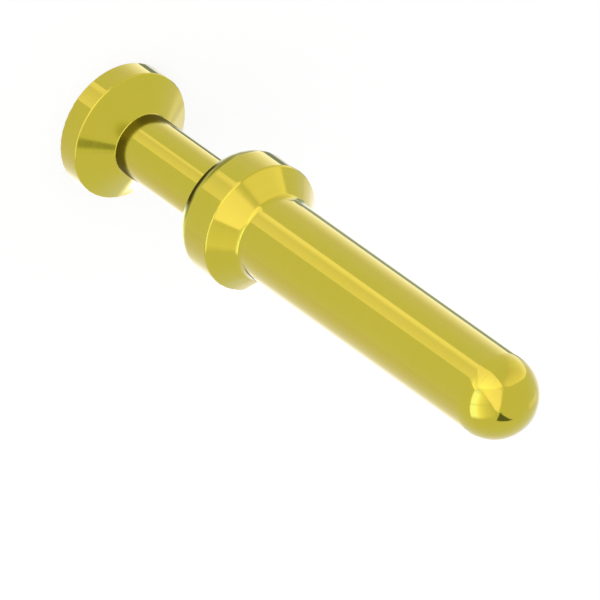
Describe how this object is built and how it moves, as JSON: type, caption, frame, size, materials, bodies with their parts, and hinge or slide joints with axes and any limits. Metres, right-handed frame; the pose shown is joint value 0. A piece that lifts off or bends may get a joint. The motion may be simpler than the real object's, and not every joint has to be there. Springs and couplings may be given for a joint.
{
  "type": "crimp contact",
  "caption": "Turned male crimp contact with a round-nosed pin, a conical middle collar, a slim crimp barrel and a conical rear flange with a blind wire bore.",
  "frame": {"origin": "centre of the rear face, on the axis", "axes": "+Z along the axis from the rear flange to the pin's tip; +Y through the inspection hole"},
  "size_m": [0.0038, 0.0038, 0.0183],
  "materials": {
    "gold_plating": "gold-plated copper alloy, turned and polished"
  },
  "bodies": {
    "root": {"crimp_contact": "gold_plating"}
  },
  "joints": []
}
